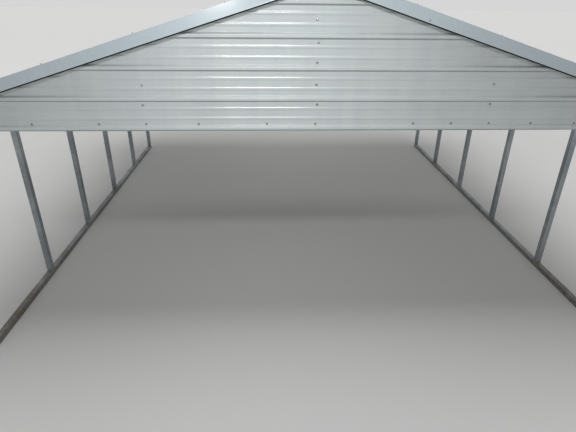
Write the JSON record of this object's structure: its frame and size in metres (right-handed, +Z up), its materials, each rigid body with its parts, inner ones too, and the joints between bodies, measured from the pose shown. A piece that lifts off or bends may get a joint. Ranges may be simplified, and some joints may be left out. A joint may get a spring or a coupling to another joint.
{
  "type": "carport",
  "caption": "Open-sided carport: galvanised tube legs and rafters on base rails, ribbed metal roof on purlins, and a ribbed gable with folded trims at each end.",
  "frame": {"origin": "on the ground, in the middle of the plan", "axes": "+X across the width to the right seen from the front gable, +Y along the depth to the rear, +Z up"},
  "size_m": [6.772, 6.779, 3.3397],
  "materials": {
    "galvanised_tube": "galvanised, dull spangle",
    "galvanised_purlin": "galvanised sheet, satin",
    "sheet_paint": "light grey paint, satin",
    "trim_paint": "pale blue-grey paint, satin"
  },
  "bodies": {
    "root": {"base_rail_left": "galvanised_tube", "base_rail_right": "galvanised_tube", "collar_ties": "galvanised_tube", "eave_trim_left": "trim_paint", "eave_trim_right": "trim_paint", "gable_header_front": "galvanised_tube", "gable_header_rear": "galvanised_tube", "gable_sheet_front_lower": "sheet_paint", "gable_sheet_front_upper": "sheet_paint", "gable_sheet_rear_lower": "sheet_paint", "gable_sheet_rear_upper": "sheet_paint", "gable_studs_front": "galvanised_tube", "gable_studs_rear": "galvanised_tube", "knee_braces_left": "galvanised_tube", "knee_braces_right": "galvanised_tube", "leg_left_1": "galvanised_tube", "leg_left_2": "galvanised_tube", "leg_left_3": "galvanised_tube", "leg_left_4": "galvanised_tube", "leg_left_5": "galvanised_tube", "leg_left_6": "galvanised_tube", "leg_right_1": "galvanised_tube", "leg_right_2": "galvanised_tube", "leg_right_3": "galvanised_tube", "leg_right_4": "galvanised_tube", "leg_right_5": "galvanised_tube", "leg_right_6": "galvanised_tube", "purlins_left": "galvanised_purlin", "purlins_right": "galvanised_purlin", "rafters_1": "galvanised_tube", "rafters_2": "galvanised_tube", "rafters_3": "galvanised_tube", "rafters_4": "galvanised_tube", "rafters_5": "galvanised_tube", "rafters_6": "galvanised_tube", "rail_sleeves_left": "galvanised_tube", "rail_sleeves_right": "galvanised_tube", "rake_trim_front_left": "trim_paint", "rake_trim_front_right": "trim_paint", "rake_trim_rear_left": "trim_paint", "rake_trim_rear_right": "trim_paint", "ridge_cap": "trim_paint", "roof_sheets_left": "sheet_paint", "roof_sheets_right": "sheet_paint"}
  },
  "joints": []
}
